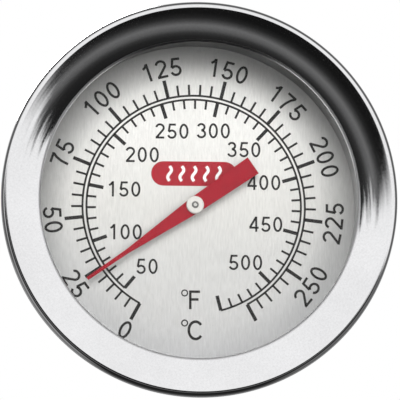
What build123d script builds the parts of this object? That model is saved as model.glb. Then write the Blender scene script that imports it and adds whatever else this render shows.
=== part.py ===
from build123d import *
from math import cos, radians, sin
import os

# Oven thermometer: a dial head on a threaded shank that goes through the oven's wall,
# with a bimetal element in a closed stem behind it. The dial faces -Y, the stem points
# along +Y and +Z is up. The origin is the centre of the seat, which is the rear face of
# the hexagon. A length named "ahead" is measured from the seat towards -Y, and a length
# named "behind" is measured from it towards +Y. All lengths are in millimetres.

# Dial head
head_diameter = 60.0
window_diameter = 47.8
bezel_sheet = 0.8
crest_ahead = 22.2
lip_ahead = 20.6
roll_radius = 0.9
roll_start = -8
roll_end = 98
bezel_rear_ahead = 17.3
bezel_rear_diameter = 58.88
bezel_rear_round = 0.9
bezel_edge_round = 0.32
hem_diameter = 55.6
case_sheet = 0.6
case_diameter = 54.8
case_back_ahead = 6.2
case_corner = 3.0
flange_corner = 0.3
flange_diameter = 57.2
flange_rear_ahead = 18.2
lens_diameter = 53.2
lens_thickness = 2.0
lens_front_ahead = 19.8
lens_chamfer = 0.2
gasket_bore = 50.2
gasket_thickness = 1.0
spacer_bore = 50.0
dial_diameter = 53.0
dial_thickness = 0.5
dial_front_ahead = 10.5
dial_hole_radius = 1.0
support_bore = 44.0
support_diameter = 48.4

# Pointer and its spindle
needle_angle = 214.8
needle_ahead = 11.7
needle_thickness = 0.4
needle_reach = 20.1
needle_tail = 11.0
needle_neck = 12.7
needle_tail_width = 3.0
needle_hub_width = 2.5
needle_neck_width = 0.66
needle_tip_width = 0.5
hub_radius = 1.36
hub_flange_radius = 1.1
hub_cap = 0.6
hub_round = 0.15
hub_stem_radius = 0.9
hub_rear_ahead = 10.95
slot_width = 0.2
slot_depth = 0.3
spindle_radius = 0.6
spindle_tip_radius = 0.37
spindle_tip_gap = 0.08
spindle_tip_ahead = 12.9
spindle_end_behind = 29.0
running_gap = 0.05

# Shank, stem and bimetal element
hex_across_flats = 17.0
hex_height = 6.0
hex_chamfer = 0.7
hex_chamfer_width = 0.2
spigot_radius = 5.0
spigot_ahead = 9.0
groove_radius = 4.5
neck_radius = 6.0
neck_length = 3.0
thread_radius = 5.0
thread_end = 17.0
undercut_radius = 4.3
undercut_length = 1.0
thread_lead_in = 0.6
thread_chamfer = 0.8
stem_radius = 3.0
stem_wall = 0.5
stem_root_radius = 2.8
stem_front_ahead = 4.0
braze_gap = 0.02
stem_end = 63.0
lower_bush_behind = 18.0
lower_bush_length = 2.0
upper_bush_length = 3.0
bush_flange_radius = 3.8
bush_flange = 0.4
coil_radius = 1.9
coil_strip = 0.25
coil_width = 1.5
coil_pitch = 2.2
coil_start = 30.4
coil_turns = 12
sleeve_radius = 1.1
sleeve_gap = 3.0
coil_disc_thickness = 1.2
coil_disc_overlap = 1.0
plug_spigot = 2.0
anchor_length = 3.0

# Friction fit between the head and the shank
ring_radius = 7.4
ring_bore_radius = 4.55
ring_thickness = 0.76
ring_rear_ahead = 7.75
groove_width = 0.8
ring_gap_width = 3.0
disc_radius = 8.6
disc_sheet = 0.35
disc_gap = 0.03
disc_bore_gap = 0.02
seal_radius = 6.9
seal_section = 0.45
seal_squeeze = 0.15

# Washer and wing nut
washer_radius = 11.0
washer_bore = 5.3
washer_thickness = 1.2
washer_front = 3.2
washer_round = 0.25
nut_front = 4.45
nut_height = 7.5
nut_radius = 7.6
nut_rear_radius = 6.6
wing_thickness = 2.2
wing_edge_round = 0.5
wing_root_radius = 5.6
wing_root_front = 8.575
wing_root_rear = 11.35
wing_foot = (9.2, 5.95)
wing_shoulder = (10.2, 15.3)
wing_reach = 17.0
wing_front = 12.0
wing_rear = 16.5
wing_rounds = (1.5, 2.2, 2.2, 2.5)

head_radius = head_diameter / 2
lens_rear_ahead = lens_front_ahead - lens_thickness
gasket_rear_ahead = lens_rear_ahead - gasket_thickness
dial_rear_ahead = dial_front_ahead - dial_thickness
case_floor_ahead = case_back_ahead + case_sheet
stem_bore = stem_radius - stem_wall
case_bore_radius = spigot_radius + running_gap


def facing(ahead, turn=0):
    """Return the plane that faces -Y at this distance ahead of the seat, turned in itself."""
    across = (cos(radians(turn)), 0, sin(radians(turn)))
    return Plane((0, -ahead, 0), x_dir=across, z_dir=(0, -1, 0))


# Bezel: rolled rim, dished inner slope, and a skirt hemmed in behind the case's flange.
with BuildPart() as bezel:
    with BuildSketch(Plane.XY) as bezel_section:
        with BuildLine():
            roll_centre = (head_radius - roll_radius, roll_radius - crest_ahead)
            roll = CenterArc(roll_centre, roll_radius, -roll_start, roll_start - roll_end)
            TangentArc((roll @ 1, (window_diameter / 2, -lip_ahead)), tangent=roll % 1)
            FilletPolyline(
                roll @ 0,
                (bezel_rear_diameter / 2, -bezel_rear_ahead),
                (hem_diameter / 2, -bezel_rear_ahead),
                radius=bezel_rear_round,
            )
            offset(amount=bezel_sheet, side=Side.RIGHT)
        make_face()
        fillet(bezel_section.vertices().sort_by(Axis.X)[0:2], radius=bezel_edge_round)
    revolve(axis=Axis.Y)

# Lens: flat glass with its edges broken.
with BuildPart() as lens:
    with BuildSketch(facing(lens_front_ahead)):
        Circle(lens_diameter / 2)
    extrude(amount=-lens_thickness)
    chamfer(lens.edges(), length=lens_chamfer)

# Lens gasket: flat ring behind the glass.
with BuildPart() as lens_gasket:
    with BuildSketch(facing(lens_rear_ahead)):
        Circle(lens_diameter / 2)
        Circle(gasket_bore / 2, mode=Mode.SUBTRACT)
    extrude(amount=-gasket_thickness)

# Spacer ring: holds the gasket off the dial and hides the inside of the case.
with BuildPart() as spacer_ring:
    with BuildSketch(facing(gasket_rear_ahead)):
        Circle(dial_diameter / 2)
        Circle(spacer_bore / 2, mode=Mode.SUBTRACT)
    extrude(amount=dial_front_ahead - gasket_rear_ahead)

# Dial plate: thin disc with a hole for the spindle.
with BuildPart() as dial_plate:
    with BuildSketch(facing(dial_front_ahead)):
        Circle(dial_diameter / 2)
        Circle(dial_hole_radius, mode=Mode.SUBTRACT)
    extrude(amount=-dial_thickness)

# Dial support: ring that stands on the case's floor.
with BuildPart() as dial_support:
    with BuildSketch(facing(dial_rear_ahead)):
        Circle(support_diameter / 2)
        Circle(support_bore / 2, mode=Mode.SUBTRACT)
    extrude(amount=case_floor_ahead - dial_rear_ahead)

# Case: drawn cup with a hole for the spigot and a flange for the bezel's hem.
with BuildPart() as case_cup:
    with BuildSketch(Plane.XY):
        with BuildLine():
            FilletPolyline(
                (case_bore_radius, -case_back_ahead),
                (case_diameter / 2, -case_back_ahead),
                (case_diameter / 2, -flange_rear_ahead),
                (flange_diameter / 2, -flange_rear_ahead),
                radius=(case_corner, flange_corner),
            )
            offset(amount=case_sheet, side=Side.RIGHT)
        make_face()
    revolve(axis=Axis.Y)

# Pointer: flat needle with a wide square tail, a taper and a narrow blade.
with BuildPart() as pointer:
    with BuildSketch(facing(needle_ahead, needle_angle)):
        with BuildLine():
            half_outline = Polyline(
                (-needle_tail, 0),
                (-needle_tail, needle_tail_width / 2),
                (0, needle_hub_width / 2),
                (needle_neck, needle_neck_width / 2),
                (needle_reach, needle_tip_width / 2),
                (needle_reach, 0),
            )
            mirror(half_outline, about=Plane.XZ)
        make_face()
        Circle(hub_stem_radius, mode=Mode.SUBTRACT)
    extrude(amount=needle_thickness)

# Pointer hub: flat cap in front of the needle and a collar behind it.
with BuildPart() as pointer_hub:
    with BuildSketch(facing(needle_ahead + needle_thickness)):
        Circle(hub_radius)
    extrude(amount=hub_cap)
    fillet(pointer_hub.edges().group_by(Axis.Y)[0], radius=hub_round)
    with BuildSketch(facing(hub_rear_ahead)):
        Circle(hub_stem_radius)
    extrude(amount=needle_ahead + needle_thickness - hub_rear_ahead)
    with BuildSketch(facing(hub_rear_ahead)):
        Circle(hub_flange_radius)
    extrude(amount=needle_ahead - hub_rear_ahead)
    with BuildSketch(facing(hub_rear_ahead)):
        Circle(spindle_radius)
    extrude(amount=needle_ahead + needle_thickness - hub_rear_ahead, mode=Mode.SUBTRACT)
    with BuildSketch(facing(hub_rear_ahead)):
        Circle(spindle_tip_radius + spindle_tip_gap)
    extrude(amount=spindle_tip_ahead - hub_rear_ahead, mode=Mode.SUBTRACT)

# Spindle: rod from the coil to the pointer, with a slotted tip that shows in the hub.
with BuildPart() as spindle:
    with BuildSketch(facing(needle_ahead + needle_thickness)):
        Circle(spindle_radius)
    extrude(amount=-(needle_ahead + needle_thickness + spindle_end_behind))
    with BuildSketch(facing(needle_ahead + needle_thickness)):
        Circle(spindle_tip_radius)
    extrude(amount=spindle_tip_ahead - needle_ahead - needle_thickness)
    with BuildSketch(facing(spindle_tip_ahead, needle_angle)):
        Rectangle(2 * spindle_radius, slot_width)
    extrude(amount=-slot_depth, mode=Mode.SUBTRACT)

# Coil sleeve: crimped on the spindle's rear end, with a disc that carries the coil.
with BuildPart() as coil_sleeve:
    sleeve_front = lower_bush_behind + lower_bush_length + sleeve_gap
    with BuildSketch(facing(-sleeve_front)):
        Circle(sleeve_radius)
    extrude(amount=sleeve_front - spindle_end_behind - coil_disc_overlap)
    with BuildSketch(facing(-spindle_end_behind)):
        Circle(coil_radius - coil_strip)
    extrude(amount=-coil_disc_thickness)
    with BuildSketch(facing(-sleeve_front)):
        Circle(spindle_radius)
    extrude(amount=sleeve_front - spindle_end_behind, mode=Mode.SUBTRACT)

# Bimetal coil: helix of flat strip that turns the spindle as it warms.
coil_height = coil_pitch * coil_turns
with BuildPart() as bimetal_coil:
    with BuildLine():
        coil_path = Helix(coil_pitch, coil_height, coil_radius, (0, coil_start, 0), (0, 1, 0))
    with BuildSketch(Plane(coil_path @ 0, x_dir=(0, 1, 0), z_dir=coil_path % 0)):
        Rectangle(coil_width, coil_strip)
    sweep(path=coil_path, is_frenet=True)

# Tip plug: welded into the tube's end, with a rounded nose.
with BuildPart() as tip_plug:
    with BuildSketch(Plane.XY):
        with BuildLine():
            Polyline(
                (stem_radius, stem_end),
                (stem_bore, stem_end),
                (stem_bore, stem_end - plug_spigot),
                (0, stem_end - plug_spigot),
                (0, stem_end + stem_radius),
            )
            RadiusArc((0, stem_end + stem_radius), (stem_radius, stem_end), stem_radius)
        make_face()
    revolve(axis=Axis.Y)

# Coil anchor: stud on the tip plug that holds the coil's rear end.
with BuildPart() as coil_anchor:
    with BuildSketch(facing(plug_spigot - stem_end)):
        Circle(coil_radius - coil_strip)
    extrude(amount=anchor_length)

# Stem tube: its front end is turned down to fit the shank's bore.
with BuildPart() as stem_tube:
    with BuildSketch(facing(stem_front_ahead)):
        Circle(stem_root_radius)
    extrude(amount=-(stem_front_ahead + thread_end))
    with BuildSketch(facing(-thread_end)):
        Circle(stem_radius)
    extrude(amount=thread_end - stem_end)
    with BuildSketch(facing(stem_front_ahead)):
        Circle(stem_bore)
    extrude(amount=-(stem_front_ahead + stem_end), mode=Mode.SUBTRACT)

# Lower bush: guides the spindle inside the tube.
with BuildPart() as lower_bush:
    with BuildSketch(facing(-lower_bush_behind)):
        Circle(stem_bore)
        Circle(spindle_radius + running_gap, mode=Mode.SUBTRACT)
    extrude(amount=-lower_bush_length)

# Upper bush: flanged guide in the front end of the shank.
with BuildPart() as upper_bush:
    with BuildSketch(facing(spigot_ahead)):
        Circle(stem_root_radius)
    extrude(amount=-upper_bush_length)
    with BuildSketch(facing(spigot_ahead)):
        Circle(bush_flange_radius)
    extrude(amount=bush_flange)
    with BuildSketch(facing(spigot_ahead + bush_flange)):
        Circle(spindle_radius + running_gap)
    extrude(amount=-(upper_bush_length + bush_flange), mode=Mode.SUBTRACT)

# Shank: spigot for the head, hexagon, locating neck and thread, bored for the stem.
with BuildPart() as shank:
    with BuildSketch(Plane.XZ):
        RegularPolygon(hex_across_flats / 2, 6, major_radius=False)
    extrude(amount=hex_height)
    with BuildSketch(Plane.XY):
        with BuildLine():
            corner = hex_across_flats / 2 / cos(radians(30))
            flat = hex_across_flats / 2 - hex_chamfer_width
            Polyline(
                (0, 0),
                (flat, 0),
                (corner, -hex_chamfer),
                (corner, hex_chamfer - hex_height),
                (flat, -hex_height),
                (0, -hex_height),
                close=True,
            )
        make_face()
    revolve(axis=Axis.Y, mode=Mode.INTERSECT)
    with BuildSketch(Plane.XY):
        with BuildLine():
            Polyline(
                (0, -spigot_ahead),
                (spigot_radius, -spigot_ahead),
                (spigot_radius, -ring_rear_ahead - groove_width),
                (groove_radius, -ring_rear_ahead - groove_width),
                (groove_radius, -ring_rear_ahead),
                (spigot_radius, -ring_rear_ahead),
                (spigot_radius, 0),
                (neck_radius, 0),
                (neck_radius, neck_length),
                (undercut_radius, neck_length),
                (undercut_radius, neck_length + undercut_length),
                (thread_radius, neck_length + undercut_length + thread_lead_in),
                (thread_radius, thread_end - thread_chamfer),
                (thread_radius - thread_chamfer, thread_end),
                (0, thread_end),
                close=True,
            )
        make_face()
    revolve(axis=Axis.Y)
    with BuildSketch(facing(spigot_ahead)):
        Circle(stem_root_radius + braze_gap)
    extrude(amount=-(spigot_ahead + thread_end), mode=Mode.SUBTRACT)
    with BuildSketch(facing(hex_height)):
        Circle(seal_radius + seal_section)
        Circle(seal_radius - seal_section, mode=Mode.SUBTRACT)
    extrude(amount=seal_squeeze - 2 * seal_section, mode=Mode.SUBTRACT)

# Head seal: O-ring in the hexagon's front face, against the case.
with BuildPart() as head_seal:
    with BuildSketch(Plane.XY):
        with Locations((seal_radius, seal_section - seal_squeeze - hex_height)):
            Circle(seal_section)
    revolve(axis=Axis.Y)

# Disc spring: cone that presses the case against the hexagon.
with BuildPart() as disc_spring:
    with BuildSketch(Plane.XY):
        with BuildLine():
            disc_bore = spigot_radius + disc_bore_gap
            disc_foot = -case_floor_ahead - disc_gap
            Polyline(
                (disc_radius, disc_foot),
                (disc_radius, disc_foot - disc_sheet),
                (disc_bore, -ring_rear_ahead),
                (disc_bore, disc_sheet - ring_rear_ahead),
                close=True,
            )
        make_face()
    revolve(axis=Axis.Y)

# Retaining ring: snaps into the spigot's groove.
with BuildPart() as retaining_ring:
    with BuildSketch(facing(ring_rear_ahead)):
        Circle(ring_radius)
        Circle(ring_bore_radius, mode=Mode.SUBTRACT)
        with Locations((0, -ring_radius)):
            Rectangle(ring_gap_width, 2 * (ring_radius - undercut_radius), mode=Mode.SUBTRACT)
    extrude(amount=ring_thickness)

# Flat washer.
with BuildPart() as flat_washer:
    with BuildSketch(facing(-washer_front)):
        Circle(washer_radius)
        Circle(washer_bore, mode=Mode.SUBTRACT)
    extrude(amount=-washer_thickness)
    rims = flat_washer.edges().filter_by(GeomType.CIRCLE).sort_by(SortBy.RADIUS)
    fillet(rims[-2:], radius=washer_round)

# Wing nut: tapered barrel and two wings that lean back.
with BuildPart() as wing_nut:
    with BuildSketch(Plane.XY):
        with BuildLine():
            FilletPolyline(
                (wing_root_radius, wing_root_front),
                wing_foot,
                (wing_reach, wing_front),
                (wing_reach, wing_rear),
                wing_shoulder,
                (wing_root_radius, wing_root_rear),
                radius=wing_rounds,
            )
            Line((wing_root_radius, wing_root_rear), (wing_root_radius, wing_root_front))
        make_face()
    extrude(amount=wing_thickness / 2, both=True)
    fillet(wing_nut.edges().filter_by(GeomType.LINE, reverse=True), radius=wing_edge_round)
    mirror(about=Plane.YZ)
    with BuildSketch(Plane.XY):
        with BuildLine():
            Polyline(
                (0, nut_front),
                (nut_radius, nut_front),
                (nut_rear_radius, nut_front + nut_height),
                (0, nut_front + nut_height),
                close=True,
            )
        make_face()
    revolve(axis=Axis.Y)
    with BuildSketch(facing(-nut_front)):
        Circle(thread_radius + running_gap)
    extrude(amount=-(wing_rear - nut_front), mode=Mode.SUBTRACT)

pieces = {
    "bezel": bezel,
    "lens": lens,
    "lens_gasket": lens_gasket,
    "spacer_ring": spacer_ring,
    "dial_plate": dial_plate,
    "dial_support": dial_support,
    "case_cup": case_cup,
    "pointer": pointer,
    "pointer_hub": pointer_hub,
    "spindle": spindle,
    "coil_sleeve": coil_sleeve,
    "bimetal_coil": bimetal_coil,
    "tip_plug": tip_plug,
    "coil_anchor": coil_anchor,
    "stem_tube": stem_tube,
    "lower_bush": lower_bush,
    "upper_bush": upper_bush,
    "shank": shank,
    "head_seal": head_seal,
    "disc_spring": disc_spring,
    "retaining_ring": retaining_ring,
    "flat_washer": flat_washer,
    "wing_nut": wing_nut,
}

os.makedirs("parts", exist_ok=True)
for name, piece in pieces.items():
    piece.part.label = name
    export_step(piece.part, f"parts/{name}.step")
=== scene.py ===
from math import atan2, ceil, cos, degrees, pi, radians, sin

import bpy
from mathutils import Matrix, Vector


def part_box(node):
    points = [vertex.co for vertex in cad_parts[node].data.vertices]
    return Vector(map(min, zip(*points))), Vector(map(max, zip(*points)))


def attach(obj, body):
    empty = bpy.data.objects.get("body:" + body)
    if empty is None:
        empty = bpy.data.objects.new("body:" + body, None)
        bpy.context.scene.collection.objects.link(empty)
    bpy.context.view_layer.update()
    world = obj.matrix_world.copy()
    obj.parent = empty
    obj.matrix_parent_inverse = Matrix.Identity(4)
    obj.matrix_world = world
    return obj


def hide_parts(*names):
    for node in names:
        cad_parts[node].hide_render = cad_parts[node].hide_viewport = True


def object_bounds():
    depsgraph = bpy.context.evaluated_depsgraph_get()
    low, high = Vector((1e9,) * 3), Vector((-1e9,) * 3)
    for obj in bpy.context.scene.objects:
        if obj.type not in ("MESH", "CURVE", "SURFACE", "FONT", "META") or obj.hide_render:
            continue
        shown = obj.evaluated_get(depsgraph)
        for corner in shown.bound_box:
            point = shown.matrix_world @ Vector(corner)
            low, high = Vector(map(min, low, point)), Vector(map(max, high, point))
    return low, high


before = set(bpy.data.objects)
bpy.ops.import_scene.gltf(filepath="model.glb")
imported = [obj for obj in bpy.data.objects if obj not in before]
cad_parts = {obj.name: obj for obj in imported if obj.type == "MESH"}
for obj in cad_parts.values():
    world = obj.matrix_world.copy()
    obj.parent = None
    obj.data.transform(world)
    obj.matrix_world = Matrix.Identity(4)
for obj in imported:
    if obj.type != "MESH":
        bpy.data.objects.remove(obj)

# Looks for the oven thermometer. Lengths are in metres in the CAD frame: the dial faces -Y,
# the stem runs along +Y and +Z is up. Sizes written in millimetres are multiplied by MM.

MM = 0.001
cad_low, cad_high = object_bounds()

dial_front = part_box("dial_plate")[0].y

# ---------------------------------------------------------------- meshes


def make_piece(name, points, faces, material, body, smooth_below=None):
    """Build a mesh piece that rides on a body; edges sharper than smooth_below stay hard."""
    mesh = bpy.data.meshes.new(name)
    mesh.from_pydata(points, [], faces)
    mesh.update()
    if smooth_below is not None:
        mesh.shade_smooth()
        mesh.set_sharp_from_angle(angle=radians(smooth_below))
    piece = bpy.data.objects.new(name, mesh)
    bpy.context.scene.collection.objects.link(piece)
    mesh.materials.append(material)
    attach(piece, body)
    return piece


# Ink stands a little proud of the dial and its back is sunk in it, so that no gap shows.
INK_PROUD = 0.02 * MM
INK_SUNK = 0.01 * MM
MITRE_LIMIT = 0.5


class Print:
    """Ink on the dial, gathered into one mesh."""

    def __init__(self, proud=INK_PROUD):
        self.front = dial_front - proud
        self.back = dial_front + INK_SUNK
        self.points = []
        self.faces = []

    def slab(self, outline):
        """Add a convex or simple flat shape from its outline, given anticlockwise."""
        first = len(self.points)
        count = len(outline)
        self.points += [(x, self.front, z) for x, z in outline]
        self.points += [(x, self.back, z) for x, z in outline]
        self.faces.append([first + i for i in range(count)])
        self.faces.append([first + count + i for i in reversed(range(count))])
        for i in range(count):
            j = (i + 1) % count
            self.faces.append([first + j, first + i, first + count + i, first + count + j])

    def stroke(self, path, width, closed=False):
        """Add a line of constant width along a path of (x, z) points."""
        count = len(path)
        left, right = [], []
        for i in range(count):
            before = path[i - 1] if closed or i > 0 else path[i]
            after = path[(i + 1) % count] if closed or i < count - 1 else path[i]
            one = Vector(path[i]) - Vector(before)
            two = Vector(after) - Vector(path[i])
            one = one.normalized() if one.length else two.normalized()
            two = two.normalized() if two.length else one
            along = (one + two).normalized()
            reach = width / 2 / max(along.dot(one), MITRE_LIMIT)
            side = Vector((-along.y, along.x)) * reach
            left.append(Vector(path[i]) + side)
            right.append(Vector(path[i]) - side)
        first = len(self.points)
        for y in (self.front, self.back):
            for line in (left, right):
                self.points += [(p.x, y, p.y) for p in line]
        spans = count if closed else count - 1
        for i in range(spans):
            j = (i + 1) % count
            a, b = first + i, first + j
            self.faces.append([a, a + count, b + count, b])
            self.faces.append([b + 2 * count, b + 3 * count, a + 3 * count, a + 2 * count])
            self.faces.append([a, b, b + 2 * count, a + 2 * count])
            self.faces.append([b + count, a + count, a + 3 * count, b + 3 * count])
        if not closed:
            for i, turn in ((0, 1), (count - 1, -1)):
                a = first + i
                self.faces.append([a, a + 2 * count, a + 3 * count, a + count][::turn])

    def finish(self, name, material):
        """Make the mesh piece, riding on the head."""
        return make_piece(name, self.points, self.faces, material, "head")


def arc(centre_x, centre_y, radius_x, radius_y, start, end, steps=16):
    """Return points on an elliptical arc, with its angles in degrees."""
    angles = [radians(start + (end - start) * i / steps) for i in range(steps + 1)]
    return [(centre_x + radius_x * cos(a), centre_y + radius_y * sin(a)) for a in angles]


def polar_surface(stations, columns):
    """Return points and faces of a tube whose outline at each station is radius_at(angle)."""
    points, faces = [], []
    for y, radius_at in stations:
        for c in range(columns):
            angle = 2 * pi * c / columns
            radius = radius_at(angle)
            points.append((radius * cos(angle), y, radius * sin(angle)))
    for s in range(len(stations) - 1):
        for c in range(columns):
            d = (c + 1) % columns
            row, above = s * columns, (s + 1) * columns
            faces.append([row + c, row + d, above + d, above + c])
    return points, faces


def circle(radius):
    """Return an outline of one radius all round."""
    return lambda angle: radius


# ---------------------------------------------------------------- materials


def new_material(name, colour, metallic, roughness):
    """Return a material with its node tree and shader, with the plain values set on the shader."""
    material = bpy.data.materials.new(name)
    material.use_nodes = True
    tree = material.node_tree
    shader = tree.nodes["Principled BSDF"]
    shader.inputs["Base Color"].default_value = (*colour, 1)
    shader.inputs["Metallic"].default_value = metallic
    shader.inputs["Roughness"].default_value = roughness
    return material, tree, shader


def feed(tree, socket, value):
    """Link a socket to another node's output, or set it when the value is a plain one."""
    if isinstance(value, bpy.types.NodeSocket):
        tree.links.new(value, socket)
    else:
        socket.default_value = value


def math_node(tree, operation, *values):
    """Return the output of a maths node, with sockets linked or set from the values given."""
    node = tree.nodes.new("ShaderNodeMath")
    node.operation = operation
    for socket, value in zip(node.inputs, values):
        feed(tree, socket, value)
    return node.outputs[0]


def weighted(tree, one, one_weight, other, other_weight):
    """Return the weighted sum of two values."""
    first = math_node(tree, "MULTIPLY", one, one_weight)
    second = math_node(tree, "MULTIPLY", other, other_weight)
    return math_node(tree, "ADD", first, second)


def place(tree):
    """Return the object coordinates, split into x, y and z, and as one vector."""
    coordinates = tree.nodes.new("ShaderNodeTexCoord")
    split = tree.nodes.new("ShaderNodeSeparateXYZ")
    tree.links.new(coordinates.outputs["Object"], split.inputs[0])
    return split.outputs[0], split.outputs[1], split.outputs[2], coordinates.outputs["Object"]


def joined(tree, x, y, z):
    """Return a vector made of three values."""
    node = tree.nodes.new("ShaderNodeCombineXYZ")
    for socket, value in zip(node.inputs, (x, y, z)):
        feed(tree, socket, value)
    return node.outputs[0]


def noise(tree, vector, scale, detail=4.0, roughness=0.6):
    """Return the value of a noise texture read at a vector."""
    node = tree.nodes.new("ShaderNodeTexNoise")
    node.inputs["Scale"].default_value = scale
    node.inputs["Detail"].default_value = detail
    node.inputs["Roughness"].default_value = roughness
    tree.links.new(vector, node.inputs["Vector"])
    return node.outputs["Fac"]


def ramp(tree, value, stops):
    """Return a colour ramp's colour output; stops are (place, colour) pairs."""
    node = tree.nodes.new("ShaderNodeValToRGB")
    elements = node.color_ramp.elements
    while len(elements) < len(stops):
        elements.new(0.5)
    for element, (at, colour) in zip(elements, stops):
        element.position = at
        element.color = (*colour, 1)
    tree.links.new(value, node.inputs[0])
    return node.outputs[0]


def spread(tree, value, low, high, low_in=0.3, high_in=0.7):
    """Return a value mapped from low_in..high_in, by default a noise's range, on to low..high."""
    node = tree.nodes.new("ShaderNodeMapRange")
    for socket, number in zip(node.inputs, (value, low_in, high_in, low, high)):
        feed(tree, socket, number)
    return node.outputs[0]


def bump(tree, shader, height, strength, distance):
    """Drive the shader's normal from a height."""
    node = tree.nodes.new("ShaderNodeBump")
    node.inputs["Strength"].default_value = strength
    node.inputs["Distance"].default_value = distance
    tree.links.new(height, node.inputs["Height"])
    tree.links.new(node.outputs[0], shader.inputs["Normal"])


def grey(value):
    """Return an even grey."""
    return (value, value, value)


def grey_stops(stops):
    """Return a ramp's stops from (place, grey value) pairs."""
    return [(at, grey(value)) for at, value in stops]


def shades(colour, *factors):
    """Return the colour multiplied by each factor in turn."""
    return [tuple(min(1.0, part * factor) for part in colour) for factor in factors]


def cylindrical(tree):
    """Return the distance from the stem's axis, the place along it and the angle round it."""
    x, y, z, _ = place(tree)
    squares = weighted(tree, x, x, z, z)
    return math_node(tree, "SQRT", squares), y, math_node(tree, "ARCTAN2", z, x)


def scaled(tree, colour, factor):
    """Return a colour multiplied by a value."""
    node = tree.nodes.new("ShaderNodeVectorMath")
    node.operation = "SCALE"
    tree.links.new(colour, node.inputs[0])
    tree.links.new(factor, node.inputs["Scale"])
    return node.outputs[0]


def multiplied(tree, colour, other, share=1.0):
    """Return the product of two colours, or the share of the way to it."""
    node = tree.nodes.new("ShaderNodeMix")
    node.data_type = "RGBA"
    node.blend_type = "MULTIPLY"
    feed(tree, node.inputs["Factor"], share)
    feed(tree, node.inputs["A"], colour)
    feed(tree, node.inputs["B"], other)
    return node.outputs["Result"]


def shade_again(material, factor):
    """Multiply a finished material's colour by a value."""
    tree = material.node_tree
    colour = tree.nodes["Principled BSDF"].inputs["Base Color"]
    tree.links.new(scaled(tree, colour.links[0].from_socket, factor), colour)


def lathe_metal(name, colour, roughness, ring_scale, depth, variation=0.06, metallic=1.0):
    """Metal with fine turning or spinning lines that run round the axis."""
    material, tree, shader = new_material(name, colour, metallic, roughness)
    radius, along, angle = cylindrical(tree)
    round_the_axis = math_node(tree, "MULTIPLY", angle, 0.0004)
    rings = noise(tree, joined(tree, radius, along, round_the_axis), ring_scale)
    _, _, _, position = place(tree)
    cloud = noise(tree, position, 70.0, 3.0)
    dark, light = shades(colour, 1 - variation, 1 + variation)
    both = weighted(tree, rings, 0.55, cloud, 0.45)
    tree.links.new(ramp(tree, both, [(0.35, dark), (0.65, light)]), shader.inputs["Base Color"])
    dullness = spread(tree, both, roughness * 0.8, roughness * 1.25)
    tree.links.new(dullness, shader.inputs["Roughness"])
    bump(tree, shader, rings, depth, 0.02 * MM)
    return material


def polished_bezel():
    """Spun and polished stainless steel, with short radial strokes left by the polishing."""
    colour = (0.83, 0.83, 0.84)
    material, tree, shader = new_material("bezel_polish", colour, 1.0, 0.12)
    radius, along, angle = cylindrical(tree)
    across, _, height, position = place(tree)
    radial = joined(tree, math_node(tree, "MULTIPLY", angle, 0.03), radius, along)
    strokes = noise(tree, radial, 3200.0, 3.0)
    circular = joined(tree, radius, along, math_node(tree, "MULTIPLY", angle, 0.0015))
    around = noise(tree, circular, 1500.0, 3.0)
    smudge = noise(tree, position, 120.0, 4.0)
    blend = weighted(tree, strokes, 0.6, smudge, 0.4)

    # The lip is duller than the slope, with painted shade at the top and a painted highlight on
    # its upper flanks.
    lip_end, slope_start = 24.25 * MM, 24.5 * MM
    highlight_full, highlight_end = 24.02 * MM, 24.14 * MM
    flank_start, flank_full = 10.5 * MM, 14 * MM
    upper_start, upper_full = 2 * MM, 6 * MM
    shade_start, shade_full = 19 * MM, 23 * MM
    at_lip = spread(tree, radius, 1.0, 0.0, lip_end, slope_start)
    at_top = spread(tree, height, 0.0, 0.85, shade_start, shade_full)
    shaded = math_node(tree, "MULTIPLY", at_lip, at_top)
    flanks = spread(tree, math_node(tree, "ABSOLUTE", across), 0.0, 1.0, flank_start, flank_full)
    upper = spread(tree, height, 0.0, 1.0, upper_start, upper_full)
    upper_flanks = math_node(tree, "MULTIPLY", flanks, upper)
    inner_edge = spread(tree, radius, 0.9, 0.0, highlight_full, highlight_end)
    painted_highlight = math_node(tree, "MULTIPLY", upper_flanks, inner_edge)

    dark, light = shades(colour, 0.93, 1.05)
    steel = ramp(tree, blend, [(0.35, dark), (0.65, light)])
    lit_steel = scaled(tree, steel, math_node(tree, "SUBTRACT", 1.0, shaded))
    tree.links.new(lit_steel, shader.inputs["Base Color"])
    dullness = math_node(tree, "MULTIPLY_ADD", at_lip, 0.45, spread(tree, blend, 0.045, 0.10))
    tree.links.new(dullness, shader.inputs["Roughness"])
    # Painted highlight: on the upper flanks the lip's inner edge loses its metal sheen, so that it
    # shows bright.
    tree.links.new(math_node(tree, "SUBTRACT", 1.0, painted_highlight), shader.inputs["Metallic"])
    lines = math_node(tree, "ADD", strokes, math_node(tree, "MULTIPLY", around, 0.5))
    bump(tree, shader, lines, 0.10, 0.01 * MM)
    return material


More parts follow.
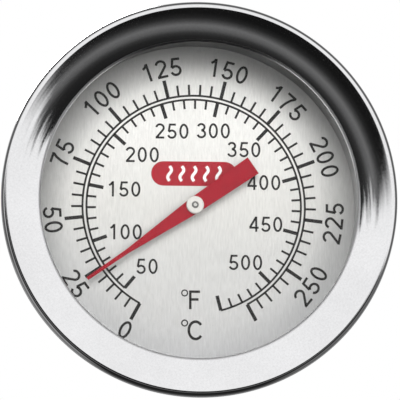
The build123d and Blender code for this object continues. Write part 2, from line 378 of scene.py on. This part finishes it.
def brushed_dial():
    """Aluminium sheet brushed straight up and down, clear lacquered, with painted light above the
    middle and painted shade towards its rim.
    """
    colour = (0.92, 0.915, 0.895)
    material, tree, shader = new_material("dial_brushed", colour, 0.3, 0.42)
    x, y, z, _ = place(tree)
    radius, _, _ = cylindrical(tree)
    fine = noise(tree, joined(tree, x, y, math_node(tree, "MULTIPLY", z, 0.14)), 4200.0, 6.0, 0.7)
    broad = noise(tree, joined(tree, x, y, math_node(tree, "MULTIPLY", z, 0.3)), 140.0, 2.0)
    both = weighted(tree, fine, 0.85, broad, 0.15)
    grain = ramp(tree, both, grey_stops([(0.36, 0.84), (0.64, 1.0)]))

    # Painted light and shade: the sheet is painted lightest above the middle, and painted shade
    # makes its rim darker and cooler, most at the top.
    low, high = -24 * MM, 24 * MM
    light_from = 12 * MM
    rim_start, rim_full = 19.5 * MM, 24.5 * MM
    cool_start, cool_full = 18 * MM, 24 * MM
    height = spread(tree, z, 0.0, 1.0, low, light_from)
    # Painted light, brightest above the middle and dimmer towards the bottom.
    sheet = ramp(tree, height, [
        (0.0, (0.68, 0.68, 0.682)),
        (0.45, (0.71, 0.71, 0.70)),
        (0.68, (0.785, 0.78, 0.758)),
        (1.0, colour),
    ])
    rim_shade = spread(tree, z, 1.0, 0.42, low, high)
    rim = spread(tree, radius, 1.0, rim_shade, rim_start, rim_full)
    cool_shade = spread(tree, radius, 0.0, 1.0, cool_start, cool_full)
    # The brushed grain is laid over the painted light and shade.
    brushed = multiplied(tree, scaled(tree, sheet, rim), grain)
    cool_shaded = multiplied(tree, brushed, (0.985, 0.992, 1.008, 1), cool_shade)
    tree.links.new(cool_shaded, shader.inputs["Base Color"])
    tree.links.new(spread(tree, fine, 0.36, 0.5), shader.inputs["Roughness"])
    bump(tree, shader, fine, 0.12, 0.01 * MM)
    return material


def turned_spacer():
    """Grey turned metal inside the case, in deeper shade towards the top."""
    material = lathe_metal("spacer_turned", (0.74, 0.75, 0.76), 0.45, 4000.0, 0.3)
    tree = material.node_tree
    _, _, z, _ = place(tree)
    low, high = -5 * MM, 25 * MM
    stops = [(0.0, 1.0), (0.3, 0.90), (0.57, 0.56), (0.78, 0.41), (0.97, 0.35)]
    shade = ramp(tree, spread(tree, z, 0.0, 1.0, low, high), grey_stops(stops))
    shade_again(material, shade)
    return material


def joint_ring(material, inner, outer, darkest):
    """Darken a turned part in a ring round the axis, at a staked joint."""
    tree = material.node_tree
    radius, _, _ = cylindrical(tree)
    away = math_node(tree, "ABSOLUTE", math_node(tree, "SUBTRACT", radius, (inner + outer) / 2))
    half = (outer - inner) / 2
    shade_again(material, spread(tree, away, darkest, 1.0, half * 0.5, half))


def printed(name, colour, roughness):
    """Screen-printed ink: nearly even, with faint thin places."""
    material, tree, shader = new_material(name, colour, 0.0, roughness)
    _, _, _, position = place(tree)
    thin = noise(tree, position, 2500.0, 3.0)
    dark, light = shades(colour, 0.85, 1.3)
    tree.links.new(ramp(tree, thin, [(0.3, dark), (0.75, light)]), shader.inputs["Base Color"])
    dullness = spread(tree, thin, roughness * 0.9, roughness * 1.2)
    tree.links.new(dullness, shader.inputs["Roughness"])
    return material


def needle_paint():
    """Satin red paint over sheet metal, with a fine orange-peel skin and painted shade on its
    edges.
    """
    colour = (0.30, 0.005, 0.016)
    material, tree, shader = new_material("needle_paint", colour, 0.0, 0.38)
    shader.inputs["Specular IOR Level"].default_value = 0.3
    _, _, _, position = place(tree)
    mottle = noise(tree, position, 500.0, 3.0)
    skin = noise(tree, position, 2600.0, 2.0)
    dark, light = shades(colour, 0.86, 1.16)
    # Painted shade: faces that turn away from the front are darker.
    facing = tree.nodes.new("ShaderNodeSeparateXYZ")
    tree.links.new(tree.nodes.new("ShaderNodeNewGeometry").outputs["Normal"], facing.inputs[0])
    painted_edge_shade = spread(tree, facing.outputs[1], 1.0, 0.4, -0.97, -0.5)
    paint = scaled(tree, ramp(tree, mottle, [(0.3, dark), (0.7, light)]), painted_edge_shade)
    tree.links.new(paint, shader.inputs["Base Color"])
    tree.links.new(spread(tree, skin, 0.33, 0.44), shader.inputs["Roughness"])
    bump(tree, shader, skin, 0.08, 0.02 * MM)
    return material


def lens_glass():
    """Thin clear glass: it lets the view through and adds a faint reflection."""
    material = bpy.data.materials.new("lens_clear")
    material.use_nodes = True
    tree = material.node_tree
    tree.nodes.remove(tree.nodes["Principled BSDF"])
    clear = tree.nodes.new("ShaderNodeBsdfTransparent")
    clear.inputs["Color"].default_value = (0.985, 0.985, 0.982, 1)
    gloss = tree.nodes.new("ShaderNodeBsdfGlossy")
    gloss.inputs["Roughness"].default_value = 0.02
    fresnel = tree.nodes.new("ShaderNodeFresnel")
    fresnel.inputs["IOR"].default_value = 1.22
    mix = tree.nodes.new("ShaderNodeMixShader")
    tree.links.new(fresnel.outputs[0], mix.inputs[0])
    tree.links.new(clear.outputs[0], mix.inputs[1])
    tree.links.new(gloss.outputs[0], mix.inputs[2])
    tree.links.new(mix.outputs[0], tree.nodes["Material Output"].inputs["Surface"])
    return material


def silicone():
    """Dull black silicone with a bloom of dust."""
    colour = (0.02, 0.02, 0.021)
    material, tree, shader = new_material("silicone_black", colour, 0.0, 0.6)
    _, _, _, position = place(tree)
    bloom = noise(tree, position, 300.0, 5.0)
    dusty = (0.045, 0.045, 0.047)
    tree.links.new(ramp(tree, bloom, [(0.4, colour), (0.75, dusty)]), shader.inputs["Base Color"])
    tree.links.new(spread(tree, bloom, 0.5, 0.75), shader.inputs["Roughness"])
    bump(tree, shader, bloom, 0.15, 0.05 * MM)
    return material


def drawn_tube():
    """Stainless tube with drawing lines along it, and a straw tint near the tip from heat."""
    colour = (0.72, 0.72, 0.715)
    material, tree, shader = new_material("stem_drawn", colour, 1.0, 0.24)
    x, y, z, position = place(tree)
    lines = noise(tree, joined(tree, x, math_node(tree, "MULTIPLY", y, 0.02), z), 4500.0, 4.0)
    cloud = noise(tree, position, 160.0, 3.0)
    wander = math_node(tree, "MULTIPLY", math_node(tree, "SUBTRACT", cloud, 0.5), 8 * MM)
    clean_to, tip = 30 * MM, 66 * MM
    warm, straw = (0.73, 0.705, 0.65), (0.72, 0.65, 0.52)
    heat = spread(tree, math_node(tree, "ADD", y, wander), 0.0, 1.0, clean_to, tip)
    tint = ramp(tree, heat, [(0.0, colour), (0.55, warm), (1.0, straw)])
    streaks = ramp(tree, lines, grey_stops([(0.35, 0.90), (0.65, 1.0)]))
    tree.links.new(multiplied(tree, tint, streaks), shader.inputs["Base Color"])
    tree.links.new(spread(tree, lines, 0.18, 0.32), shader.inputs["Roughness"])
    bump(tree, shader, lines, 0.12, 0.02 * MM)
    return material


def zinc_plate():
    """Bright zinc over a die-cast nut: soft cloudy patches and a grainy skin."""
    colour = (0.73, 0.74, 0.76)
    material, tree, shader = new_material("zinc_bright", colour, 1.0, 0.3)
    _, _, _, position = place(tree)
    cloud = noise(tree, position, 260.0, 5.0)
    grain = noise(tree, position, 3000.0, 3.0)
    dark, light = shades(colour, 0.84, 1.08)
    tree.links.new(ramp(tree, cloud, [(0.3, dark), (0.7, light)]), shader.inputs["Base Color"])
    tree.links.new(spread(tree, cloud, 0.22, 0.4), shader.inputs["Roughness"])
    bump(tree, shader, grain, 0.2, 0.03 * MM)
    return material


bezel_steel = polished_bezel()
case_steel = lathe_metal("case_satin", (0.70, 0.70, 0.695), 0.30, 5000.0, 0.35)
spacer_grey = turned_spacer()
turned_steel = lathe_metal("turned_steel", (0.69, 0.69, 0.69), 0.24, 5500.0, 0.4)
spring_blue = lathe_metal("spring_blued", (0.30, 0.31, 0.34), 0.32, 5000.0, 0.2)
turned_brass = lathe_metal("turned_brass", (0.74, 0.56, 0.26), 0.26, 5500.0, 0.35)
bimetal_strip = lathe_metal("bimetal_strip", (0.58, 0.53, 0.46), 0.34, 6000.0, 0.2)
# The hub and the spindle are dull, and scatter light as well as mirroring it.
hub_silver = lathe_metal("hub_turned", (0.74, 0.72, 0.69), 0.35, 9000.0, 0.5, 0.12, metallic=0.35)
joint_ring(hub_silver, 0.32 * MM, 0.58 * MM, 0.35)
spindle_steel = lathe_metal("spindle_ground", (0.86, 0.85, 0.82), 0.30, 5500.0, 0.4, metallic=0.5)
joint_ring(spindle_steel, 0.24 * MM, 0.54 * MM, 0.20)
dial_metal = brushed_dial()
ink_black = printed("ink_black", (0.014, 0.013, 0.013), 0.45)
badge_red = printed("badge_red", (0.33, 0.006, 0.017), 0.45)
badge_white = printed("badge_white", (0.80, 0.80, 0.79), 0.5)
red_paint = needle_paint()
clear_glass = lens_glass()
black_silicone = silicone()
tube_steel = drawn_tube()
zinc = zinc_plate()

node_materials = {
    "bezel": bezel_steel,
    "lens": clear_glass,
    "lens_gasket": black_silicone,
    "spacer_ring": spacer_grey,
    "dial_plate": dial_metal,
    "dial_support": case_steel,
    "case_cup": case_steel,
    "pointer": red_paint,
    "pointer_hub": hub_silver,
    "spindle": spindle_steel,
    "coil_sleeve": turned_brass,
    "bimetal_coil": bimetal_strip,
    "tip_plug": tube_steel,
    "coil_anchor": turned_brass,
    "stem_tube": tube_steel,
    "lower_bush": turned_brass,
    "upper_bush": turned_brass,
    "shank": turned_steel,
    "head_seal": black_silicone,
    "disc_spring": spring_blue,
    "retaining_ring": spring_blue,
    "flat_washer": zinc,
    "wing_nut": zinc,
}
for node, material in node_materials.items():
    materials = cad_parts[node].data.materials
    materials.clear()
    materials.append(material)

# The needle's edges are broken, so that they catch the light.
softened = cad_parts["pointer"].modifiers.new("edge", "BEVEL")
softened.width = 0.11 * MM
softened.segments = 2
softened.limit_method = "ANGLE"

# ---------------------------------------------------------------- dial print

# The scales share one law: the angle, anticlockwise from +X, of a temperature in Celsius.
ZERO_ANGLE = 241.0
DEGREES_PER_CELSIUS = 1.1

# Radii of the two rings and of the outer ends of their marks, and the widths of the lines.
RING_CELSIUS = 17.25 * MM
RING_FAHRENHEIT = 16.63 * MM
RING_LINE = 0.31 * MM
MAJOR_LINE = 0.54 * MM
MINOR_LINE = 0.33 * MM
CELSIUS_MINOR = 18.98 * MM
CELSIUS_MAJOR = 20.1 * MM
FAHRENHEIT_MINOR = 15.19 * MM
FAHRENHEIT_MAJOR = 14.3 * MM
RING_STEPS = 160

# Where the figures' middles are, and how high they are. The Fahrenheit ones are on an oval.
CELSIUS_LABELS = 21.93 * MM
CELSIUS_HEIGHT = 2.86 * MM
FAHRENHEIT_HEIGHT = 2.36 * MM
FAHRENHEIT_ACROSS = 11.3 * MM
FAHRENHEIT_UP = 12.25 * MM

# A figure's line, width and pitch are shares of its height. Figures written round the scale
# turn over where the sine of their angle is under TURNED_BELOW.
LETTER_STROKE = 0.134
LETTER_WIDTH = 0.60
LETTER_PITCH = 0.79
TURNED_BELOW = -0.05

middle = LETTER_WIDTH / 2
inset = LETTER_STROKE / 2
top = 1 - inset

# Each glyph is a list of (closed, path) strokes in a box one unit high.
glyphs = {
    "0": [(True, arc(middle, 0.5, middle - inset, 0.5 - inset, 0, 348, 29))],
    "1": [(False, [(0.38, 0), (0.38, 1)]), (False, [(0.13, 0.74), (0.26, 0.82), (0.37, 0.96)])],
    "2": [
        (False, arc(0.305, 0.71, 0.245, 0.2290, 168, -38) + [(0.22, 0.24), (0.07, inset)]),
        (False, [(0.02, inset), (0.59, inset)]),
    ],
    "3": [
        (False, arc(0.295, 0.735, 0.215, 0.2040, 165, -90)),
        (False, arc(0.295, 0.29, 0.250, 0.2290, 90, -165)),
    ],
    "4": [
        (False, [(0.46, 0), (0.46, 1)]),
        (False, [(0.45, 0.97), (0.05, 0.29)]),
        (False, [(0.01, 0.27), (0.62, 0.27)]),
    ],
    "5": [
        (False, [(0.56, top), (0.17, top), (0.09, 0.47)]),
        (False, arc(0.295, 0.30, 0.248, 0.2390, 143, -163)),
    ],
    "7": [
        (False, [(0.03, top), (0.59, top)]),
        (False, [(0.56, top), (0.40, 0.71), (0.28, 0.40), (0.22, 0)]),
    ],
    "F": [
        (False, [(0.10, 0), (0.10, 1)]),
        (False, [(0.10, top), (0.62, top)]),
        (False, [(0.10, 0.52), (0.54, 0.52)]),
    ],
    "C": [(False, arc(0.38, 0.5, 0.34, 0.5 - inset, 38, 322, 24))],
}


def on_dial(radius, angle):
    """Return the point on the dial at a radius and an angle in degrees."""
    return radius * cos(radians(angle)), radius * sin(radians(angle))


def write(ink, text, centre, height, turn=0.0):
    """Write upright figures centred on a point, then turn them by an angle in degrees."""
    width = LETTER_PITCH * (len(text) - 1) + LETTER_WIDTH
    cosine, sine = cos(radians(turn)), sin(radians(turn))
    for index, letter in enumerate(text):
        shift = index * LETTER_PITCH - width / 2
        for closed, path in glyphs[letter]:
            line = []
            for x, y in path:
                across, up = (x + shift) * height, (y - 0.5) * height
                line.append((
                    centre[0] + across * cosine - up * sine,
                    centre[1] + across * sine + up * cosine,
                ))
            ink.stroke(line, LETTER_STROKE * height, closed)


def write_round(ink, text, radius, angle, height):
    """Write figures round the scale; below the middle they turn so that their feet face out."""
    flipped = sin(radians(angle)) < TURNED_BELOW
    pitch = degrees(LETTER_PITCH * height / radius)
    for index, letter in enumerate(text):
        step = (index - (len(text) - 1) / 2) * pitch
        letter_angle = angle + step if flipped else angle - step
        turn = letter_angle + 90 if flipped else letter_angle - 90
        write(ink, letter, on_dial(radius, letter_angle), height, turn)


def scale_angle(celsius):
    """Return the angle of a temperature on the dial."""
    return ZERO_ANGLE - DEGREES_PER_CELSIUS * celsius


def fahrenheit_angle(fahrenheit):
    """Return the angle of a Fahrenheit temperature on the dial."""
    return scale_angle((fahrenheit - 32) / 1.8)


def scale(ink, angle_of, marked, major_step, ring, minor_end, major_end):
    """Draw a scale's ring and a mark at each temperature; those at a major step are bolder."""
    start = angle_of(marked[0])
    turn = angle_of(marked[-1]) - start
    angles = [start + turn * i / RING_STEPS for i in range(RING_STEPS + 1)]
    ink.stroke([on_dial(ring, angle) for angle in angles], RING_LINE)
    for temperature in marked:
        is_major = temperature % major_step == 0
        end = major_end if is_major else minor_end
        width = MAJOR_LINE if is_major else MINOR_LINE
        angle = angle_of(temperature)
        ink.stroke([on_dial(ring, angle), on_dial(end, angle)], width)


celsius_ink = Print()
celsius_marked = range(0, 276, 5)
scale(celsius_ink, scale_angle, celsius_marked, 25, RING_CELSIUS, CELSIUS_MINOR, CELSIUS_MAJOR)
for temperature in range(0, 251, 25):
    angle = scale_angle(temperature)
    write_round(celsius_ink, str(temperature), CELSIUS_LABELS, angle, CELSIUS_HEIGHT)
celsius_ink.finish("celsius_print", ink_black)

fahrenheit_ink = Print()
fahrenheit_marked = range(50, 551, 10)
scale(
    fahrenheit_ink, fahrenheit_angle, fahrenheit_marked, 50,
    RING_FAHRENHEIT, FAHRENHEIT_MINOR, FAHRENHEIT_MAJOR,
)
# Figures that would crowd their neighbours stand a little off the oval, by (across, up) in mm.
fahrenheit_nudges = {
    150: (0.2, 0.2), 200: (0.4, -0.2), 300: (0.5, -0.15), 400: (0, 0.4), 450: (0.2, 0.35),
}
for temperature in range(50, 501, 50):
    angle = radians(fahrenheit_angle(temperature))
    across, up = fahrenheit_nudges.get(temperature, (0, 0))
    centre = (FAHRENHEIT_ACROSS * cos(angle) + across * MM, FAHRENHEIT_UP * sin(angle) + up * MM)
    write(fahrenheit_ink, str(temperature), centre, FAHRENHEIT_HEIGHT)
fahrenheit_ink.finish("fahrenheit_print", ink_black)

# Each unit is (letter, place above the middle, height). A degree ring stands on its left, as
# far up as the share DEGREE_UP of the letter's height.
UNITS = [("F", -14.5 * MM, 2.9 * MM), ("C", -19.2 * MM, 3.1 * MM)]
DEGREE_ACROSS = -1.45 * MM
DEGREE_RADIUS = 0.45 * MM
DEGREE_LINE = 0.2 * MM
DEGREE_UP = 0.36
unit_ink = Print()
for letter, up, height in UNITS:
    write(unit_ink, letter, (0.0, up), height)
    ring_up = up + height * DEGREE_UP
    degree_ring = arc(DEGREE_ACROSS, ring_up, DEGREE_RADIUS, DEGREE_RADIUS, 0, 345, 23)
    unit_ink.stroke(degree_ring, DEGREE_LINE, closed=True)
unit_ink.finish("unit_print", ink_black)

# A plain red badge above the hub, with five heat waves in place of a name.
BADGE_WIDTH = 13.3 * MM
BADGE_HEIGHT = 3.8 * MM
BADGE_UP = 5.05 * MM
WAVE_PROUD = 0.035 * MM
WAVE_COUNT = 5
WAVE_PITCH = 1.9 * MM
WAVE_SWING = 0.30 * MM
WAVE_REACH = 1.15 * MM
WAVE_LINE = 0.46 * MM
WAVE_STEPS = 20

badge = Print()
end = (BADGE_WIDTH - BADGE_HEIGHT) / 2
end_radius = BADGE_HEIGHT / 2
badge.slab(
    arc(end, BADGE_UP, end_radius, end_radius, -90, 90)
    + arc(-end, BADGE_UP, end_radius, end_radius, 90, 270)
)
badge.finish("badge_print", badge_red)

waves = Print(WAVE_PROUD)
rise = [-1.0 + 2.0 * i / WAVE_STEPS for i in range(WAVE_STEPS + 1)]
for number in range(WAVE_COUNT):
    centre = (number - (WAVE_COUNT - 1) / 2) * WAVE_PITCH
    wave = [(centre + WAVE_SWING * sin(pi * u), BADGE_UP + WAVE_REACH * u) for u in rise]
    waves.stroke(wave, WAVE_LINE)
waves.finish("badge_waves", badge_white)

# ---------------------------------------------------------------- bezel

# Spun from sheet: a dished slope from the lip out to a roll, then a skirt with a turned-in hem.
# Its facets are fine enough for clean reflections.
SHEET = 0.8 * MM
ROLL_RADIUS = 0.9 * MM
ROLL_START = 8.0
ROLL_END = -98.0
LIP_RADIUS = 23.9 * MM
LIP_Y = -20.6 * MM
SKIRT_RADIUS = 29.44 * MM
HEM_RADIUS = 27.8 * MM
REAR_ROUND = 0.9 * MM
REAR_SET_BACK = 0.14 * MM
INNER_ROUND = 0.1 * MM
BEZEL_COLUMNS = 432

bezel_low, bezel_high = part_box("bezel")
bezel_rear = bezel_high.y
roll_centre = Vector((bezel_high.x - ROLL_RADIUS, bezel_low.y + ROLL_RADIUS))
roll_end = roll_centre + ROLL_RADIUS * Vector((cos(radians(ROLL_END)), sin(radians(ROLL_END))))

# The dished slope is an arc that leaves the roll smoothly and ends at the lip.
inward = (roll_centre - roll_end).normalized()
to_lip = Vector((LIP_RADIUS, LIP_Y)) - roll_end
dish_radius = to_lip.length_squared / (2 * inward.dot(to_lip))
dish_centre = roll_end + inward * dish_radius
from_centre = Vector((LIP_RADIUS, LIP_Y)) - dish_centre
lip_angle = degrees(atan2(from_centre.y, from_centre.x)) + degrees(SHEET / 2 / dish_radius)
end_angle = radians(lip_angle)
lip_centre = dish_centre + (dish_radius - SHEET / 2) * Vector((cos(end_angle), sin(end_angle)))
rear_round = Vector((SKIRT_RADIUS - REAR_ROUND - REAR_SET_BACK, bezel_rear - REAR_ROUND))


def ring_of(centre, radius, start, end, steps):
    """Return points on a round arc about a centre."""
    return arc(centre.x, centre.y, radius, radius, start, end, steps)


bezel_outline = (
    ring_of(lip_centre, SHEET / 2, lip_angle - 180, lip_angle, 12)
    + ring_of(dish_centre, dish_radius, lip_angle, ROLL_END, 28)[1:]
    + ring_of(roll_centre, ROLL_RADIUS, ROLL_END, ROLL_START, 34)[1:]
    + ring_of(rear_round, REAR_ROUND, ROLL_START, 90, 14)
    + [(HEM_RADIUS, bezel_rear), (HEM_RADIUS, bezel_rear - SHEET)]
    + ring_of(rear_round, INNER_ROUND, 90, ROLL_START, 4)
    + ring_of(roll_centre, INNER_ROUND, ROLL_START, ROLL_END, 6)
    + ring_of(dish_centre, dish_radius - SHEET, ROLL_END, lip_angle, 16)[1:-1]
)
points, faces = polar_surface([(y, circle(radius)) for radius, y in bezel_outline], BEZEL_COLUMNS)
last = (len(bezel_outline) - 1) * BEZEL_COLUMNS
for column in range(BEZEL_COLUMNS):
    beside = (column + 1) % BEZEL_COLUMNS
    faces.append([last + column, last + beside, beside, column])
spun_bezel = make_piece("bezel_spun", points, faces, bezel_steel, "head", 40)
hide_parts("bezel")

# ---------------------------------------------------------------- shank with its thread

# From front to rear: a spigot with a groove for the retaining ring, the hexagon, the locating
# neck, a relief and the thread, round one bore.
PITCH = 1.5 * MM
THREAD_DEPTH = 0.75 * MM
THREAD_RADIUS = 5.0 * MM
ROOT_RADIUS = THREAD_RADIUS - THREAD_DEPTH
HEX_FLAT = 8.5 * MM
HEX_HEIGHT = 6.0 * MM
HEX_CHAMFER = 0.7 * MM
SPIGOT_FRONT = -9.0 * MM
SPIGOT_RADIUS = 5.0 * MM
NECK_RADIUS = 6.0 * MM
NECK_LENGTH = 3.0 * MM
BORE_RADIUS = 2.82 * MM
GROOVE_FRONT = -8.55 * MM
GROOVE_REAR = -7.75 * MM
GROOVE_RADIUS = 4.5 * MM
RELIEF_RADIUS = 4.3 * MM
RELIEF_END = 4.0 * MM
HEX_CUT = 0.2 * MM
SHANK_COLUMNS = 120
STATIONS_PER_TURN = 14

# The thread gets shallower by RUN_OUT_DEPTH over its last RUN_OUT_LENGTH. A tooth rises by
# FLANK_SLOPE times its depth in a pitch, from a flat root, and is cut off flat at its crest.
RUN_OUT_LENGTH = 0.9 * MM
RUN_OUT_DEPTH = 0.8 * MM
FLANK_SLOPE = 2.6
ROOT_FLAT = 0.15

thread_start = 4.6 * MM
thread_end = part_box("shank")[1].y


def hexagon(limit):
    """Return a hexagon's outline, cut back to a limiting radius by its chamfer."""
    def radius_at(angle):
        turn = (angle + pi / 6) % (pi / 3) - pi / 6
        return min(HEX_FLAT / cos(turn), limit)
    return radius_at


def thread(y):
    """Return the outline of the right-hand thread at one place along the axis."""
    fade = min(1.0, (thread_end - y) / RUN_OUT_LENGTH)

    def radius_at(angle):
        phase = (y / PITCH + angle / (2 * pi)) % 1.0
        tooth = min(1.0, max(0.0, (0.5 - abs(phase - 0.5)) * FLANK_SLOPE - ROOT_FLAT))
        outer = THREAD_RADIUS - RUN_OUT_DEPTH * (1 - fade)
        return min(outer, ROOT_RADIUS + THREAD_DEPTH * tooth)
    return radius_at


hex_corner = HEX_FLAT / cos(pi / 6)
hex_limit = HEX_FLAT - HEX_CUT
stations = [
    (SPIGOT_FRONT, circle(BORE_RADIUS)),
    (SPIGOT_FRONT, circle(SPIGOT_RADIUS)),
    (GROOVE_FRONT, circle(SPIGOT_RADIUS)),
    (GROOVE_FRONT, circle(GROOVE_RADIUS)),
    (GROOVE_REAR, circle(GROOVE_RADIUS)),
    (GROOVE_REAR, circle(SPIGOT_RADIUS)),
    (-HEX_HEIGHT, circle(SPIGOT_RADIUS)),
    (-HEX_HEIGHT, hexagon(hex_limit)),
    (HEX_CHAMFER - HEX_HEIGHT, hexagon(hex_corner)),
    (-HEX_CHAMFER, hexagon(hex_corner)),
    (0.0, hexagon(hex_limit)),
    (0.0, circle(NECK_RADIUS)),
    (NECK_LENGTH, circle(NECK_RADIUS)),
    (NECK_LENGTH, circle(RELIEF_RADIUS)),
    (RELIEF_END, circle(RELIEF_RADIUS)),
]
steps = ceil((thread_end - thread_start) / (PITCH / STATIONS_PER_TURN))
for step in range(steps + 1):
    y = thread_start + (thread_end - thread_start) * step / steps
    stations.append((y, thread(y)))
stations += [
    (thread_end, circle(BORE_RADIUS)),
    (SPIGOT_FRONT, circle(BORE_RADIUS)),
]
points, faces = polar_surface(stations, SHANK_COLUMNS)
threaded = make_piece("shank_threaded", points, faces, turned_steel, "stem", 28)
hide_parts("shank")

# ---------------------------------------------------------------- camera

# The camera is straight in front, a little to the left and below. FRAME_WIDTH is how wide its
# view is at the target.
CAMERA_AZIMUTH = -5.2
CAMERA_ELEVATION = -6.5
CAMERA_DISTANCE = 0.42
SENSOR_WIDTH = 36.0
FRAME_WIDTH = 60.27 * MM
target = Vector((-0.06 * MM, -21.3 * MM, -0.26 * MM))
azimuth, elevation = radians(CAMERA_AZIMUTH), radians(CAMERA_ELEVATION)
back = Vector((sin(azimuth) * cos(elevation), -cos(azimuth) * cos(elevation), sin(elevation)))
camera_data = bpy.data.cameras.new("camera")
camera_data.sensor_width = SENSOR_WIDTH
camera_data.lens = SENSOR_WIDTH * CAMERA_DISTANCE / FRAME_WIDTH
camera_data.clip_start = 0.01
camera_data.clip_end = 20.0
camera = bpy.data.objects.new("camera", camera_data)
camera.location = target + back * CAMERA_DISTANCE
camera.rotation_mode = "QUATERNION"
camera.rotation_quaternion = (-back).to_track_quat("-Z", "Y")
bpy.context.scene.collection.objects.link(camera)
bpy.context.scene.camera = camera

# ---------------------------------------------------------------- stage and light

# The thermometer hangs in its oven wall, clear of the floor.
FLOOR_REACH = 3.0
FLOOR_DROP = 0.05
floor_mesh = bpy.data.meshes.new("floor")
floor_z = cad_low.z - FLOOR_DROP
sides = [(-1, -1), (1, -1), (1, 1), (-1, 1)]
corners = [(FLOOR_REACH * x, FLOOR_REACH * y, floor_z) for x, y in sides]
floor_mesh.from_pydata(corners, [], [(0, 1, 2, 3)])
floor = bpy.data.objects.new("floor", floor_mesh)
floor_paint, _, _ = new_material("floor_pale", (0.86, 0.86, 0.85), 0.0, 0.9)
floor_mesh.materials.append(floor_paint)
bpy.context.scene.collection.objects.link(floor)
floor.visible_glossy = False


def area_light(name, position, aim, size, power, is_mirrored):
    """Add a soft square light that points at a place, and may show in polished parts or not."""
    data = bpy.data.lights.new(name, "AREA")
    data.shape = "SQUARE"
    data.size = size
    data.energy = power
    light = bpy.data.objects.new(name, data)
    light.location = position
    light.rotation_mode = "QUATERNION"
    light.rotation_quaternion = (Vector(aim) - Vector(position)).to_track_quat("-Z", "Y")
    light.visible_glossy = is_mirrored
    bpy.context.scene.collection.objects.link(light)


head_centre = (0, dial_front, 0)
stem_middle = (0, 0.03, 0)
area_light("key", (-0.14, -0.9, 0.40), head_centre, 0.5, 6.8, is_mirrored=False)
area_light("fill", (0.5, -0.8, 0.1), head_centre, 0.6, 2.5, is_mirrored=False)
area_light("rear", (-0.4, 0.8, 0.7), stem_middle, 0.6, 8, is_mirrored=True)

world = bpy.data.worlds.new("studio")
bpy.context.scene.world = world
world.use_nodes = True
sky = world.node_tree
background = sky.nodes["Background"]
direction = sky.nodes.new("ShaderNodeTexCoord").outputs["Generated"]
split = sky.nodes.new("ShaderNodeSeparateXYZ")
sky.links.new(direction, split.inputs[0])
right, ahead, up = split.outputs

# What the polished bezel mirrors: a bright ceiling, and a dark room below with a grey strip
# round it. The room's edge is a little above the middle on the left and below it on the right.
# Nearness is 0 straight ahead of the dial, where the viewer is, and 1 square to the stem.
ROOM_STOPS = [
    (0.022, 0.008), (0.045, 0.022), (0.066, 0.070), (0.092, 0.165),
    (0.128, 0.115), (0.163, 0.040), (0.20, 0.020), (0.28, 0.014),
]
EDGE_SLOPE = 0.18
EDGE_SLOPE_RIGHT = 0.085
nearness = math_node(sky, "ADD", ahead, 1.0)
room = ramp(sky, nearness, grey_stops(ROOM_STOPS))

# The edge between ceiling and room, ragged along the polishing strokes. The far left is a pale
# wall, so the edge comes down there.
right_only = math_node(sky, "MAXIMUM", right, 0.0)
right_side = math_node(sky, "MULTIPLY", right_only, EDGE_SLOPE_RIGHT)
edge = math_node(sky, "ADD", math_node(sky, "MULTIPLY_ADD", right, EDGE_SLOPE, up), right_side)
streaks = joined(sky, math_node(sky, "MULTIPLY", ahead, 9.0), right, up)
ragged = noise(sky, streaks, 3.0, 3.0)
swing = spread(sky, nearness, 0.01, 0.09, 0.01, 0.10)
edge = math_node(sky, "MULTIPLY_ADD", spread(sky, ragged, -1.0, 1.0), swing, edge)
left_wall = spread(sky, right, 0.0, 0.5, -0.80, -0.92)
lit = spread(sky, math_node(sky, "ADD", edge, left_wall), 0.0, 1.0, 0.03, 0.10)

# The room is lighter at the two sides, and behind the dial.
far_side = spread(sky, math_node(sky, "ABSOLUTE", right), 0.0, 1.0, 0.42, 0.60)
side_light = math_node(sky, "MULTIPLY", far_side, spread(sky, right, 0.20, 0.09, -0.5, 0.5))
side_start = spread(sky, nearness, 0.0, 1.6, 0.32, 0.44)
side_end = spread(sky, nearness, 1.0, 0.35, 0.72, 0.95)
side_band = math_node(sky, "MULTIPLY", side_start, side_end)
room = math_node(sky, "MULTIPLY_ADD", side_light, side_band, room)
room = math_node(sky, "ADD", room, spread(sky, ahead, 0.0, 0.03, -0.40, -0.20))
room = math_node(sky, "ADD", room, spread(sky, ahead, 0.0, 0.22, 0.10, 0.60))

# The ceiling ends in a dark band, which draws the line round the bezel, and is lit again behind.
ceiling = spread(sky, ahead, 1.0, 0.12, -0.55, -0.30)
ceiling = math_node(sky, "MAXIMUM", ceiling, spread(sky, ahead, 0.0, 0.7, 0.40, 0.80))
mirrored = spread(sky, lit, room, ceiling, 0.0, 1.0)

# Matt surfaces are lit by an even grey, and the background seen by the camera is white.
MATT_LIGHT = (0.80, 0.80, 0.80, 1)
WHITE = (1, 1, 1, 1)
rays = sky.nodes.new("ShaderNodeLightPath")
seen = sky.nodes.new("ShaderNodeMix")
seen.data_type = "RGBA"
sky.links.new(rays.outputs["Is Glossy Ray"], seen.inputs["Factor"])
seen.inputs["A"].default_value = MATT_LIGHT
sky.links.new(mirrored, seen.inputs["B"])
plain = sky.nodes.new("ShaderNodeMix")
plain.data_type = "RGBA"
sky.links.new(rays.outputs["Is Camera Ray"], plain.inputs["Factor"])
sky.links.new(seen.outputs["Result"], plain.inputs["A"])
plain.inputs["B"].default_value = WHITE
sky.links.new(plain.outputs["Result"], background.inputs["Color"])

bpy.context.scene.view_settings.view_transform = "Standard"
